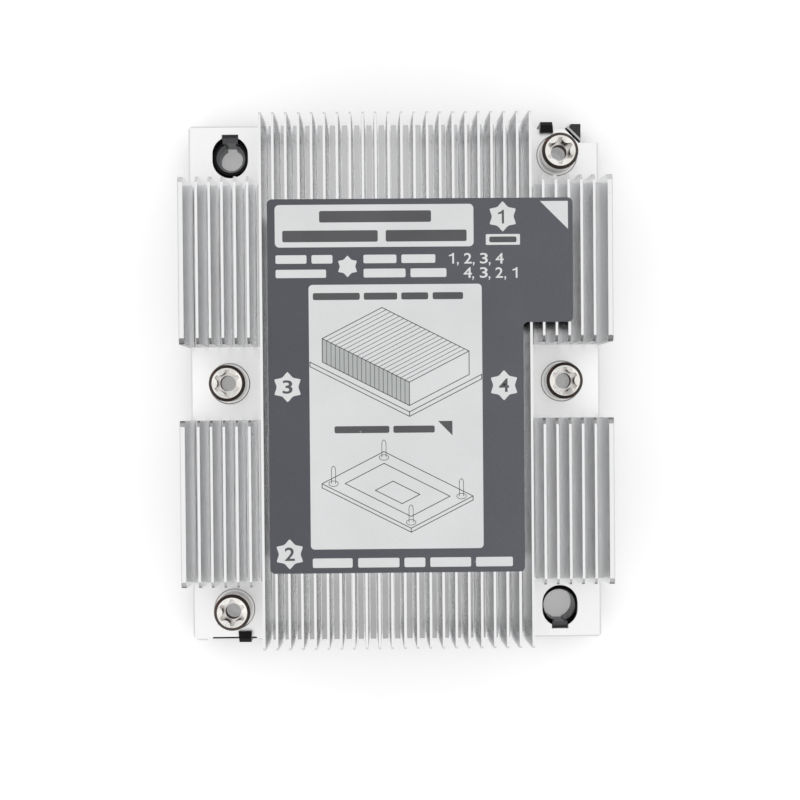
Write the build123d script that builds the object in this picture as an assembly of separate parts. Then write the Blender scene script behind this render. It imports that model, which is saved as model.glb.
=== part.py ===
from build123d import *
import os
from math import sqrt

# Passive processor heatsink for a server: a milled aluminium extrusion, four captive nuts held by
# rings under the plate, a moulded processor carrier clipped underneath, a thermal pad and a label.
# Sizes are in millimetres. X runs across the fins, Y along them, and Z is up from the resting plane.

# Extrusion
body_length = 108.6
plate_thickness = 5.0
fin_height = 20.5
centre_fin_count = 22
centre_fin_pitch = 2.58
side_fin_count = 5
side_fin_pitch = 2.56
fin_tip_thickness = 0.5
fin_root_thickness = 0.85
fin_root_bevel = 0.3
edge_fin_gap = 2.46
edge_fin_thickness = 1.05
edge_fin_corner_radius = 0.4
fin_end_bevel = 0.5
long_fin_lean = 0.3

# Pockets milled down to the plate
corner_pocket_length = 13.0
middle_pocket_width = 15.4
pocket_inner_gap = 0.1
fin_end_chamfer = 1.2
fin_end_lean = 0.7

# Plate outline
plate_side_trim = 0.38
plate_edge_bevel = 0.35
plate_corner_radius = 1.0
plain_corner_radius = 1.6
key_notch_inset = 14.45
key_notch_depth = 1.1
key_notch_radius = 1.3
key_step_inset = 4.47
key_step_depth = 4.05
lip_notch_inset = 4.05
lip_notch_length = 9.6
lip_notch_depth = 0.7

# Contact face under the plate, and the thermal pad on it
pedestal_width = 52.0
pedestal_length = 72.0
pedestal_height = 1.2
pedestal_corner_radius = 2.0
pad_margin = 1.5
pad_thickness = 0.25
pad_corner_radius = 3.0

# Distances from the plate's edges to the nuts and the guide posts
corner_hole_side_inset = 9.15
corner_hole_end_inset = 6.6
middle_nut_inset = 8.55

# Captive nuts
nut_head_radius = 3.8
nut_head_height = 7.9
nut_head_bevel = 0.65
nut_shank_radius = 2.8
nut_hole_clearance = 0.3
nut_seat_radius = 4.15
nut_seat_depth = 0.4
nut_seat_bevel = 0.2
nut_floor_gap = 0.8
nut_tip_bevel = 0.3
thread_minor_radius = 1.65
thread_mouth_bevel = 0.3
lobe_count = 6
lobe_tip_radius = 2.8
lobe_root_radius = 2.02
lobe_flute_radius = 1.3
lobe_depth = 3.5
lobe_mouth_bevel = 0.3
lobe_mouth_depth = 0.5

# Retaining rings in the nuts' grooves
ring_thickness = 0.8
ring_outer_radius = 3.9
ring_band_width = 0.75
ring_lug_width = 1.5
ring_lug_angle = 100.0
ring_mouth_width = 4.6
ring_side_play = 0.05
ring_radial_play = 0.05
ring_groove_depth = 0.45
nut_travel = 1.4
ring_stop_gap = 0.1

# Guide post holes in the plate and the carrier's rings in them
guide_hole_width = 7.5
guide_hole_length = 8.8
guide_ring_gap = 0.15
guide_ring_height = 3.2
small_guide_radius = 2.45
large_guide_radius = 3.2
guide_funnel_width = 0.7
guide_funnel_height = 1.4
guide_slot_width = 2.1
guide_boss_wall = 1.3

# Hooks beside the guide rings
tab_width = 3.2
tab_thickness = 1.0
tab_gap = 0.1
tab_top_gap = 0.2
tab_nose_rise = 0.5
tab_ledge_gap = 0.15
tab_ledge_depth = 1.6
tab_ledge_reach = 0.4

# Carrier frame
carrier_height = 4.0
carrier_side_inset = 1.25
carrier_end_inset = 1.1
carrier_corner_radius = 3.0
carrier_web = 1.4
carrier_wall = 1.2
window_side_gap = 2.7
window_end_gap = 2.5
window_corner_radius = 1.5
nut_well_radius = 4.3
rib_thickness = 1.0
side_rib_count = 7
side_rib_pitch = 12.0
end_rib_count = 4
end_rib_pitch = 13.0
clip_width = 9.0
clip_reach = 0.7
clip_height = 1.0
clip_pitch = 48.0

# Hooks over the plate's ends, lip and corner key
hook_inset = 11.4
hook_width = 2.8
hook_tip_width = 2.5
hook_reach = 0.4
hook_gap = 0.1
hook_nose_inset = 2.0
hook_nose_height = 1.1
hook_nose_gap = 0.05
hook_bevel = 0.8
hook_root_height = 2.6
lip_reach = 0.25
lip_height = 2.4
key_reach = 0.1
key_side_inset = 4.04
key_edge_gap = 0.66
key_top_gap = 0.6
key_end_cut = 0.65
key_end_slant = 0.4
key_bevel = 0.37

# Label
label_thickness = 0.15
label_left = 25.75
label_right = 25.45
label_bottom = 38.5
label_top = 36.5
label_wing_right = 35.5
label_wing_bottom = 11.6
label_corner_radius = 1.0

# How far a cutting shape runs past what it cuts
overcut = 1.0

# Levels and places worked out from the sizes
plate_bottom_z = carrier_height
plate_top_z = plate_bottom_z + plate_thickness
fin_top_z = plate_top_z + fin_height
pedestal_bottom_z = plate_bottom_z - pedestal_height
nut_seat_z = plate_top_z - nut_seat_depth
ring_top_z = plate_bottom_z - nut_travel - ring_stop_gap
ring_bottom_z = ring_top_z - ring_thickness
ring_inner_radius = nut_shank_radius - ring_groove_depth + ring_radial_play
fin_taper = (fin_root_thickness - fin_tip_thickness) / 2
last_centre_fin = centre_fin_pitch * (centre_fin_count - 1) / 2
last_side_fin = last_centre_fin + side_fin_pitch * side_fin_count
edge_fin_inner = last_side_fin + fin_tip_thickness / 2 + edge_fin_gap
half_width = edge_fin_inner + edge_fin_thickness
half_length = body_length / 2
plate_side_x = half_width - plate_side_trim
pocket_inner_x = last_centre_fin + fin_root_thickness / 2 + pocket_inner_gap
corner_hole_x = half_width - corner_hole_side_inset
corner_hole_y = half_length - corner_hole_end_inset
middle_nut_x = half_width - middle_nut_inset
hook_x = half_width - hook_inset
key_notch_start = half_width - key_notch_inset
key_step_x = half_width - key_step_inset
key_notch_y = half_length - key_notch_depth
key_step_y = half_length - key_step_depth
key_slope_x = key_step_x - (key_notch_y - key_step_y)
key_slope_sum = key_step_x + key_step_y
lip_notch_y = half_length - lip_notch_depth
lip_notch_to = half_width - lip_notch_inset
lip_notch_from = lip_notch_to - lip_notch_length
window_width = pedestal_width + 2 * window_side_gap
window_length = pedestal_length + 2 * window_end_gap
carrier_half_width = half_width - carrier_side_inset
carrier_half_length = half_length - carrier_end_inset
key_outer_x = half_width - key_side_inset
key_outer_y = half_length + key_reach

nut_places = [
    (corner_hole_x, corner_hole_y),
    (-corner_hole_x, -corner_hole_y),
    (-middle_nut_x, 0),
    (middle_nut_x, 0),
]
small_guide_place = (-corner_hole_x, corner_hole_y)
large_guide_place = (corner_hole_x, -corner_hole_y)


# Helpers

def plan_face(points):
    """Flat face on a closed outline of straight lines."""
    return make_face(Polyline(*points, close=True))


def upright(face, bottom, top):
    """Upright solid between two levels."""
    return Pos(0, 0, bottom) * extrude(face, top - bottom)


def disc(place, radius):
    """Round face at a place on the plan."""
    return Pos(place[0], place[1]) * Circle(radius)


def strip(x_range, y_range):
    """Rectangular face between two values on each axis."""
    width = x_range[1] - x_range[0]
    length = y_range[1] - y_range[0]
    return Pos(x_range[0] + width / 2, y_range[0] + length / 2) * Rectangle(width, length)


def corner_nearest(face, x, y):
    """Corner of a face nearest to a point."""
    return face.vertices().sort_by_distance((x, y, 0))[0]


# Extrusion

def fin_tips():
    """Left and right side of every fin at its tip, from left to right."""
    middle = [centre_fin_pitch * i - last_centre_fin for i in range(centre_fin_count)]
    right = [last_centre_fin + side_fin_pitch * (i + 1) for i in range(side_fin_count)]
    left = [-x for x in reversed(right)]
    half_tip = fin_tip_thickness / 2
    thin = [(x - half_tip, x + half_tip) for x in left + middle + right]
    return [(-half_width, -edge_fin_inner)] + thin + [(edge_fin_inner, half_width)]


def channel_face(left, right):
    """Gap between two fins, narrower and beveled at its floor."""
    face = plan_face([
        (left, fin_top_z + overcut),
        (left, fin_top_z),
        (left + fin_taper, plate_top_z),
        (right - fin_taper, plate_top_z),
        (right, fin_top_z),
        (right, fin_top_z + overcut),
    ])
    return chamfer(face.vertices().group_by(Axis.Y)[0], fin_root_bevel)


def extrusion():
    """Plate and fins as one section run along Y."""
    section = strip((-half_width, half_width), (pedestal_bottom_z, fin_top_z))
    section = fillet(section.vertices().group_by(Axis.Y)[-1], edge_fin_corner_radius)
    fins = fin_tips()
    channels = [channel_face(a[1], b[0]) for a, b in zip(fins, fins[1:])]
    section = section - channels
    return extrude(Plane.XZ * section, half_length, both=True)


# Milling

def side_cut(points):
    """Cutter with an outline in Y and Z, run along X over the right-hand group of short fins."""
    length = half_width + overcut - pocket_inner_x
    return Pos(pocket_inner_x, 0, 0) * extrude(Plane.YZ * plan_face(points), length)


def corner_pocket_cut():
    """Corner pocket, with the chamfered and slightly leaning ends of the short fins."""
    end_y = half_length - corner_pocket_length
    return side_cut([
        (end_y - fin_end_chamfer, fin_top_z + overcut),
        (end_y - fin_end_chamfer, fin_top_z),
        (end_y, fin_top_z - fin_end_chamfer),
        (end_y + fin_end_lean, plate_top_z),
        (half_length + overcut, plate_top_z),
        (half_length + overcut, fin_top_z + overcut),
    ])


def middle_pocket_cut():
    """Pocket across the middle of the side, with chamfered fin ends."""
    end_y = middle_pocket_width / 2
    return side_cut([
        (-end_y - fin_end_chamfer, fin_top_z + overcut),
        (-end_y - fin_end_chamfer, fin_top_z),
        (-end_y, fin_top_z - fin_end_chamfer),
        (-end_y, plate_top_z),
        (end_y, plate_top_z),
        (end_y, fin_top_z - fin_end_chamfer),
        (end_y + fin_end_chamfer, fin_top_z),
        (end_y + fin_end_chamfer, fin_top_z + overcut),
    ])


def long_fin_end_cut():
    """Slight lean of the long fins' ends, with a small bevel along their top."""
    tip_y = half_length - long_fin_lean
    outline = plan_face([
        (half_length, plate_top_z),
        (tip_y, fin_top_z - fin_end_bevel),
        (tip_y - fin_end_bevel, fin_top_z),
        (tip_y - fin_end_bevel, fin_top_z + overcut),
        (half_length + overcut, fin_top_z + overcut),
        (half_length + overcut, plate_top_z),
    ])
    return extrude(Plane.YZ * outline, half_width + overcut, both=True)


def plate_side_cut(y_range):
    """Trims the plate's right side within a pocket and bevels its upper edge."""
    outline = plan_face([
        (plate_side_x, pedestal_bottom_z - overcut),
        (plate_side_x, plate_top_z - plate_edge_bevel),
        (plate_side_x - plate_edge_bevel - overcut, plate_top_z + overcut),
        (half_width + overcut, plate_top_z + overcut),
        (half_width + overcut, pedestal_bottom_z - overcut),
    ])
    length = y_range[1] - y_range[0]
    return Pos(0, y_range[1], 0) * extrude(Plane.XZ * outline, length)


def plate_end_cut():
    """Bevel along the upper edge of the plate's end in a corner pocket."""
    return side_cut([
        (half_length - plate_edge_bevel - overcut, plate_top_z + overcut),
        (half_length + overcut, plate_top_z - plate_edge_bevel - overcut),
        (half_length + overcut, plate_top_z + overcut),
    ])


def pedestal_cut():
    """All that is milled off round the raised contact face, up to the plate's underside."""
    sheet = Rectangle(2 * (half_width + overcut), 2 * (half_length + overcut))
    island = RectangleRounded(pedestal_width, pedestal_length, pedestal_corner_radius)
    return upright(sheet - island, pedestal_bottom_z - overcut, plate_bottom_z)


def key_corner_cut():
    """Notch, slope and step in the plate beside the carrier's corner key and one hook."""
    outer_x = half_width + overcut
    outer_y = half_length + overcut
    outline = plan_face([
        (key_notch_start, outer_y),
        (key_notch_start, key_notch_y),
        (key_slope_x, key_notch_y),
        (key_step_x, key_step_y),
        (outer_x, key_step_y),
        (outer_x, outer_y),
    ])
    outline = fillet(corner_nearest(outline, key_notch_start, key_notch_y), key_notch_radius)
    return upright(outline, pedestal_bottom_z - overcut, plate_top_z + overcut)


def lip_notch_cut():
    """Shallow notch in the plate's end over the carrier's lip, at the corner opposite the key."""
    flare = lip_notch_depth + overcut
    outer_y = half_length + overcut
    outline = plan_face([
        (-lip_notch_from, -lip_notch_y),
        (-lip_notch_to, -lip_notch_y),
        (-lip_notch_to - flare, -outer_y),
        (-lip_notch_from + flare, -outer_y),
    ])
    return upright(outline, pedestal_bottom_z - overcut, plate_top_z + overcut)


def nut_hole_cut(place):
    """Clearance hole for a nut's shank, with the shallow seat for its head."""
    hole = disc(place, nut_shank_radius + nut_hole_clearance)
    seat = disc(place, nut_seat_radius)
    low = pedestal_bottom_z - overcut
    high = plate_top_z + overcut
    rise = nut_seat_bevel + overcut
    base = (Align.CENTER, Align.CENTER, Align.MIN)
    mouth = Cone(nut_seat_radius, nut_seat_radius + rise, rise, align=base)
    flare = Pos(place[0], place[1], plate_top_z - nut_seat_bevel) * mouth
    return upright(hole, low, high) + upright(seat, nut_seat_z, high) + flare


def guide_hole_cut(place, outward):
    """Oblong hole for a guide post, with the ledge that a carrier hook snaps over."""
    oblong = Pos(place[0], place[1]) * Rot(0, 0, 90) * SlotOverall(guide_hole_length, guide_hole_width)
    ledge_y = place[1] + outward * (guide_hole_length / 2 + tab_ledge_reach)
    half_ledge = tab_width / 2 + tab_ledge_gap
    ledge = strip((place[0] - half_ledge, place[0] + half_ledge), sorted((place[1], ledge_y)))
    high = plate_top_z + overcut
    hole = upright(oblong, pedestal_bottom_z - overcut, high)
    return hole + upright(ledge, plate_top_z - tab_ledge_depth, high)


def plate_corner_cut(x_side, y_side, radius):
    """What is cut off to round an upright corner of the plate."""
    inner_x = plate_side_x - radius
    inner_y = half_length - radius
    corner = strip((inner_x, half_width + overcut), (inner_y, half_length + overcut))
    outline = corner - disc((inner_x, inner_y), radius)
    if x_side < 0:
        outline = mirror(outline, Plane.YZ)
    if y_side < 0:
        outline = mirror(outline, Plane.XZ)
    return upright(outline, pedestal_bottom_z - overcut, plate_top_z + overcut)


def heatsink_body():
    """The extrusion after milling, as one solid."""
    end_y = half_length - corner_pocket_length + fin_end_lean
    corner = [corner_pocket_cut(), plate_side_cut((end_y, half_length + overcut)), plate_end_cut()]
    middle = [middle_pocket_cut(), plate_side_cut((-middle_pocket_width / 2, middle_pocket_width / 2))]
    right_side = corner + [mirror(cut, Plane.XZ) for cut in corner] + middle
    left_side = [mirror(cut, Plane.YZ) for cut in right_side]
    fin_ends = long_fin_end_cut()
    cuts = right_side + left_side + [fin_ends, mirror(fin_ends, Plane.XZ)]
    cuts += [pedestal_cut(), key_corner_cut(), lip_notch_cut()]
    cuts += [nut_hole_cut(place) for place in nut_places]
    cuts += [guide_hole_cut(small_guide_place, 1), guide_hole_cut(large_guide_place, -1)]
    cuts += [plate_corner_cut(-1, 1, plate_corner_radius), plate_corner_cut(1, -1, plate_corner_radius)]
    cuts += [plate_corner_cut(-1, -1, plain_corner_radius)]
    return extrusion() - cuts


# Nuts and their rings

def nut_section():
    """Half section of a nut: beveled shank, ring groove and beveled head."""
    head_top_z = nut_seat_z + nut_head_height
    groove_radius = nut_shank_radius - ring_groove_depth
    mouth_radius = thread_minor_radius + thread_mouth_bevel
    return plan_face([
        (mouth_radius, nut_floor_gap),
        (nut_shank_radius - nut_tip_bevel, nut_floor_gap),
        (nut_shank_radius, nut_floor_gap + nut_tip_bevel),
        (nut_shank_radius, ring_bottom_z - ring_side_play),
        (groove_radius, ring_bottom_z - ring_side_play),
        (groove_radius, ring_top_z + ring_side_play),
        (nut_shank_radius, ring_top_z + ring_side_play),
        (nut_shank_radius, nut_seat_z),
        (nut_head_radius, nut_seat_z),
        (nut_head_radius, head_top_z - nut_head_bevel),
        (nut_head_radius - nut_head_bevel, head_top_z),
        (thread_minor_radius, head_top_z),
        (thread_minor_radius, nut_floor_gap + thread_mouth_bevel),
    ])


def driver_recess():
    """Six-lobe recess with a countersunk mouth."""
    head_top_z = nut_seat_z + nut_head_height
    flutes = PolarLocations(lobe_root_radius + lobe_flute_radius, lobe_count) * Circle(lobe_flute_radius)
    lobes = Circle(lobe_tip_radius) - flutes
    base = (Align.CENTER, Align.CENTER, Align.MIN)
    mouth = Cone(lobe_root_radius, lobe_tip_radius + lobe_mouth_bevel, lobe_mouth_depth, align=base)
    recess = upright(lobes, head_top_z - lobe_depth, head_top_z + overcut)
    return recess + Pos(0, 0, head_top_z - lobe_mouth_depth) * mouth


def captive_nut(place):
    """Nut with a round head, a six-lobe recess, a through thread and a groove for its ring."""
    nut = revolve(Plane.XZ * nut_section(), Axis.Z) - driver_recess()
    return Pos(place[0], place[1], 0) * nut


def retaining_ring(place):
    """Open ring with three lugs that reach into the nut's groove; its mouth faces inwards."""
    band = Circle(ring_outer_radius) - Circle(ring_outer_radius - ring_band_width)
    lug_length = ring_outer_radius - ring_inner_radius
    lug_middle = ring_inner_radius + lug_length / 2
    lugs = [
        Rot(0, 0, angle) * Pos(lug_middle, 0) * Rectangle(lug_length, ring_lug_width)
        for angle in (-ring_lug_angle, 0, ring_lug_angle)
    ]
    mouth = strip((-ring_outer_radius - overcut, 0), (-ring_mouth_width / 2, ring_mouth_width / 2))
    face = (band + lugs) & Circle(ring_outer_radius)
    face = face - mouth - Circle(ring_inner_radius)
    turn = 180 if place[0] < 0 else 0
    return Pos(place[0], place[1], 0) * Rot(0, 0, turn) * upright(face, ring_bottom_z, ring_top_z)


# Carrier

def carrier_outline():
    """Outer outline of the carrier's frame, stepped in at the key corner."""
    frame = RectangleRounded(2 * carrier_half_width, 2 * carrier_half_length, carrier_corner_radius)
    beyond = strip((key_outer_x, half_width), (key_step_y, half_length))
    return frame - beyond


def key_face(inset):
    """Plan of the corner key: a triangle along the plate's slope, with its long end cut off."""
    slope_sum = key_slope_sum + (key_edge_gap + inset) * sqrt(2)
    end_x = slope_sum - key_outer_y + key_end_cut
    return plan_face([
        (end_x, key_outer_y - key_end_cut),
        (end_x + key_end_slant, key_outer_y),
        (key_outer_x, key_outer_y),
        (key_outer_x, slope_sum - key_outer_x),
    ])


def corner_key():
    """Key that stands in the plate's stepped corner, beveled along the slope."""
    top = plate_top_z - key_top_gap
    lower = upright(key_face(0), 0, top - key_bevel)
    bevel = loft([Pos(0, 0, top - key_bevel) * key_face(0), Pos(0, 0, top) * key_face(key_bevel)])
    return lower + bevel


def window_face():
    """The window that the processor sits in."""
    return RectangleRounded(window_width, window_length, window_corner_radius)


def frame_walls():
    """Plan of the carrier's upright walls: skirt, window wall, nut wells, guide bosses and ribs."""
    outline = carrier_outline()
    skirt = outline - offset(outline, -carrier_wall, kind=Kind.INTERSECTION)
    window_wall = offset(window_face(), carrier_wall)
    wells = [disc(place, nut_well_radius + carrier_wall) for place in nut_places]
    bosses = [
        disc(small_guide_place, small_guide_radius + guide_boss_wall),
        disc(large_guide_place, large_guide_radius + guide_boss_wall),
    ]
    side_ribs = GridLocations(0, side_rib_pitch, 1, side_rib_count) * Rectangle(
        2 * carrier_half_width, rib_thickness)
    end_ribs = GridLocations(end_rib_pitch, 0, end_rib_count, 1) * Rectangle(
        rib_thickness, 2 * carrier_half_length)
    walls = skirt + window_wall + wells + bosses + side_ribs + end_ribs
    return walls & outline


def frame_holes():
    """Plan of all that passes through the carrier: window and nut wells."""
    wells = [disc(place, nut_well_radius) for place in nut_places]
    return window_face() + wells


def processor_clips():
    """Low lugs inside the window that the processor's edge snaps over."""
    places = GridLocations(window_width - clip_reach, clip_pitch, 2, 2)
    faces = Sketch() + places * Rectangle(clip_reach, clip_width)
    return upright(faces, 0, clip_height)


def tab_outer_offset():
    """Distance from a guide hole's centre to the outer face of the hook beside it."""
    end_radius = guide_hole_width / 2
    straight = guide_hole_length / 2 - end_radius
    return straight + sqrt(end_radius ** 2 - (tab_width / 2) ** 2) - tab_gap


def guide_tab(guide_radius):
    """Hook that stands outside a guide ring and snaps over the ledge in the plate, facing +Y."""
    outer = tab_outer_offset()
    inner = max(outer - tab_thickness, guide_radius + tab_gap)
    nose = guide_hole_length / 2 + tab_ledge_reach - tab_gap
    top = plate_top_z - tab_top_gap
    nose_z = plate_top_z - tab_ledge_depth + tab_gap
    outline = plan_face([
        (inner, plate_bottom_z - carrier_web),
        (outer, plate_bottom_z - carrier_web),
        (outer, nose_z),
        (nose, nose_z),
        (nose, nose_z + tab_nose_rise),
        (outer, top),
        (inner, top),
    ])
    return extrude(Plane.YZ * outline, tab_width / 2, both=True)


def guide_ring(guide_radius):
    """Ring that fills the plate's hole, with its hook; the bore is cut afterwards."""
    ring_radius = guide_hole_width / 2 - guide_ring_gap
    ring_top_level = plate_bottom_z + guide_ring_height
    ring = upright(Circle(ring_radius), plate_bottom_z - carrier_web, ring_top_level)
    return ring + guide_tab(guide_radius)


def guide_bore(guide_radius):
    """Bore of a guide ring, with the funnel at its upper mouth and a slot towards the hook."""
    funnel_low = plate_bottom_z + guide_ring_height - guide_funnel_height
    base = (Align.CENTER, Align.CENTER, Align.MIN)
    ring_radius = guide_hole_width / 2 - guide_ring_gap
    funnel_radius = min(guide_radius + guide_funnel_width, (guide_radius + ring_radius) / 2)
    funnel = Pos(0, 0, funnel_low) * Cone(guide_radius, funnel_radius, guide_funnel_height, align=base)
    bore = upright(Circle(guide_radius), -overcut, plate_top_z + overcut)
    tab_inner = max(tab_outer_offset() - tab_thickness, guide_radius + tab_gap)
    slot = strip((-guide_slot_width / 2, guide_slot_width / 2), (0, tab_inner))
    return bore + funnel + upright(slot, -overcut, plate_top_z + overcut)


def end_hook(plate_end_y):
    """Hook over the plate's end, facing +Y, with a beveled top."""
    inner = plate_end_y + hook_gap
    outer = half_length + hook_reach
    nose = half_length - hook_nose_inset
    nose_z = plate_top_z + hook_nose_gap
    top = nose_z + hook_nose_height
    root = carrier_height - hook_root_height
    outline = plan_face([
        (carrier_half_length - carrier_wall, root),
        (outer, root),
        (outer, top - hook_bevel),
        (outer - hook_bevel, top),
        (nose, top),
        (nose, nose_z),
        (inner, nose_z),
        (inner, plate_bottom_z),
        (carrier_half_length - carrier_wall, plate_bottom_z),
    ])
    arm = extrude(Plane.YZ * outline, hook_width / 2, both=True)
    taper = plan_face([
        (-hook_width / 2, nose - overcut),
        (-hook_width / 2, nose),
        (-hook_tip_width / 2, outer),
        (hook_tip_width / 2, outer),
        (hook_width / 2, nose),
        (hook_width / 2, nose - overcut),
    ])
    return Pos(hook_x, 0, 0) * (arm & upright(taper, 0, top))


def carrier_lip():
    """Lip that shows past the plate's end at the corner opposite the key."""
    y_range = (-half_length - lip_reach, -carrier_half_length + carrier_wall)
    face = strip((-lip_notch_to, -lip_notch_from), y_range)
    return upright(face, carrier_height - lip_height, carrier_height)


def processor_carrier():
    """Moulded frame with its window, ribs, guide rings, hooks, lip and corner key, as one solid."""
    web = upright(carrier_outline(), carrier_height - carrier_web, carrier_height)
    frame = web + upright(frame_walls(), 0, carrier_height)
    frame = frame - upright(frame_holes(), -overcut, carrier_height + overcut)
    small_seat = Pos(small_guide_place[0], small_guide_place[1], 0)
    large_seat = Pos(large_guide_place[0], large_guide_place[1], 0) * Rot(0, 0, 180)
    frame = frame + small_seat * guide_ring(small_guide_radius)
    frame = frame + large_seat * guide_ring(large_guide_radius)
    frame = frame - small_seat * guide_bore(small_guide_radius)
    frame = frame - large_seat * guide_bore(large_guide_radius)
    frame = frame + end_hook(key_notch_y) + Rot(0, 0, 180) * end_hook(lip_notch_y)
    return frame + [corner_key(), carrier_lip(), processor_clips()]


# Pad and label

def thermal_pad():
    """Thin patch of thermal compound under the contact face."""
    width = pedestal_width - 2 * pad_margin
    length = pedestal_length - 2 * pad_margin
    face = RectangleRounded(width, length, pad_corner_radius)
    return upright(face, pedestal_bottom_z - pad_thickness, pedestal_bottom_z)


def instruction_label():
    """Thin sheet stuck over the fin tops, with a wing over one side group."""
    face = plan_face([
        (-label_left, -label_bottom),
        (label_right, -label_bottom),
        (label_right, label_wing_bottom),
        (label_wing_right, label_wing_bottom),
        (label_wing_right, label_top),
        (-label_left, label_top),
    ])
    face = fillet(face.vertices(), label_corner_radius)
    return upright(face, fin_top_z, fin_top_z + label_thickness)


def build():
    """Every piece of the heatsink by name."""
    pieces = {
        "heatsink_body": heatsink_body(),
        "processor_carrier": processor_carrier(),
        "thermal_pad": thermal_pad(),
        "instruction_label": instruction_label(),
    }
    for number, place in enumerate(nut_places, start=1):
        pieces[f"nut_{number}"] = captive_nut(place)
        pieces[f"retaining_ring_{number}"] = retaining_ring(place)
    return pieces


os.makedirs("parts", exist_ok=True)
for name, shape in build().items():
    export_step(shape, f"parts/{name}.step")
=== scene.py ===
import math

import bmesh
import bpy
from mathutils import Euler, Matrix, Vector


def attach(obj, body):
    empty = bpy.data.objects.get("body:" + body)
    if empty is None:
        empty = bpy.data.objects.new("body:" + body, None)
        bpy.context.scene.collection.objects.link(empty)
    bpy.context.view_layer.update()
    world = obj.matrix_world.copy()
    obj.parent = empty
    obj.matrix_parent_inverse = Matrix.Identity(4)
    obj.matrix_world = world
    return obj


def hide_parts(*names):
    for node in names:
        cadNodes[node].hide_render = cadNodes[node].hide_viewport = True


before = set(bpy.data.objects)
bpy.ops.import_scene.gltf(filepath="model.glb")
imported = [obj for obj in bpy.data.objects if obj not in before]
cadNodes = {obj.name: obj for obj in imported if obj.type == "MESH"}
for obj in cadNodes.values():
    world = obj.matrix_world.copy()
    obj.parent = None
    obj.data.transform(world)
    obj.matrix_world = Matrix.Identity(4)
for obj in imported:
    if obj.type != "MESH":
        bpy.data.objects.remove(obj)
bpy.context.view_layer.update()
print("frame loaded with", len(cadNodes), "nodes")

mm = 0.001


# Small helpers for node trees

def addNode(tree, kind, values=None, **settings):
    node = tree.nodes.new(kind)
    for name, value in settings.items():
        setattr(node, name, value)
    for name, value in (values or {}).items():
        node.inputs[name].default_value = value
    return node


def feed(tree, target, value):
    # a socket is linked, a plain number or colour is set
    if isinstance(value, bpy.types.NodeSocket):
        tree.links.new(value, target)
    else:
        target.default_value = value


def calc(tree, operation, first, second=0.5, third=None, clamp=False):
    node = addNode(tree, "ShaderNodeMath", operation=operation, use_clamp=clamp)
    feed(tree, node.inputs[0], first)
    feed(tree, node.inputs[1], second)
    if third is not None:
        feed(tree, node.inputs[2], third)
    return node.outputs[0]


def times(tree, first, *others):
    for other in others:
        first = calc(tree, "MULTIPLY", first, other)
    return first


def either(tree, first, *others):
    # the highest of several masks
    for other in others:
        first = calc(tree, "MAXIMUM", first, other)
    return first


def without(tree, mask):
    return calc(tree, "SUBTRACT", 1.0, mask, clamp=True)


def above(tree, value, limit):
    return calc(tree, "GREATER_THAN", value, limit)


def below(tree, value, limit):
    return calc(tree, "LESS_THAN", value, limit)


def spread(tree, value, low, high, toLow=0.0, toHigh=1.0):
    # smooth step from low to high
    node = addNode(tree, "ShaderNodeMapRange", interpolation_type="SMOOTHSTEP")
    feed(tree, node.inputs["Value"], value)
    feed(tree, node.inputs["From Min"], low)
    feed(tree, node.inputs["From Max"], high)
    feed(tree, node.inputs["To Min"], toLow)
    feed(tree, node.inputs["To Max"], toHigh)
    return node.outputs["Result"]


def band(tree, value, low, high, soft):
    # one between low and high, fading out over the soft width on both sides
    rise = spread(tree, value, low - soft, low)
    fall = spread(tree, value, high, high + soft, 1.0, 0.0)
    return calc(tree, "MULTIPLY", rise, fall)


def blend(tree, amount, first, second):
    node = addNode(tree, "ShaderNodeMix")
    feed(tree, node.inputs[0], amount)
    feed(tree, node.inputs[2], first)
    feed(tree, node.inputs[3], second)
    return node.outputs[0]


def blendColour(tree, amount, first, second):
    node = addNode(tree, "ShaderNodeMix", data_type="RGBA")
    feed(tree, node.inputs[0], amount)
    feed(tree, node.inputs[6], first)
    feed(tree, node.inputs[7], second)
    return node.outputs[2]


def bump(tree, height, distance, strength):
    node = addNode(tree, "ShaderNodeBump", {"Strength": strength, "Distance": distance})
    feed(tree, node.inputs["Height"], height)
    return node.outputs["Normal"]


def parts(tree, vector):
    node = addNode(tree, "ShaderNodeSeparateXYZ")
    tree.links.new(vector, node.inputs[0])
    return node.outputs


def fromAxis(tree, x, y):
    # distance from the upright axis through the middle
    level = addNode(tree, "ShaderNodeCombineXYZ")
    tree.links.new(x, level.inputs[0])
    tree.links.new(y, level.inputs[1])
    length = addNode(tree, "ShaderNodeVectorMath", operation="LENGTH")
    tree.links.new(level.outputs[0], length.inputs[0])
    return length.outputs["Value"]


def shifted(tree, vector, offset):
    node = addNode(tree, "ShaderNodeMapping", {"Location": offset})
    tree.links.new(vector, node.inputs["Vector"])
    return node.outputs[0]


def turning(tree, values, vector):
    # fine rings round the upright axis, as a lathe or a face cutter leaves them
    node = addNode(tree, "ShaderNodeTexWave", values, wave_type="RINGS", rings_direction="Z")
    tree.links.new(vector, node.inputs["Vector"])
    return node.outputs["Fac"]


def coordinates(tree):
    outputs = addNode(tree, "ShaderNodeTexCoord").outputs
    return outputs["Object"], outputs["Normal"]


def newMaterial(name, **constants):
    material = bpy.data.materials.new(name)
    material.use_nodes = True
    tree = material.node_tree
    tree.nodes.clear()
    shader = addNode(tree, "ShaderNodeBsdfPrincipled")
    output = addNode(tree, "ShaderNodeOutputMaterial")
    tree.links.new(shader.outputs["BSDF"], output.inputs["Surface"])
    for socket, value in constants.items():
        shader.inputs[socket.replace("_", " ")].default_value = value
    return material, tree, shader


def coat(tree, shader, colour, roughness, normal):
    for socket, value in (("Base Color", colour), ("Roughness", roughness), ("Normal", normal)):
        tree.links.new(value, shader.inputs[socket])


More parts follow.
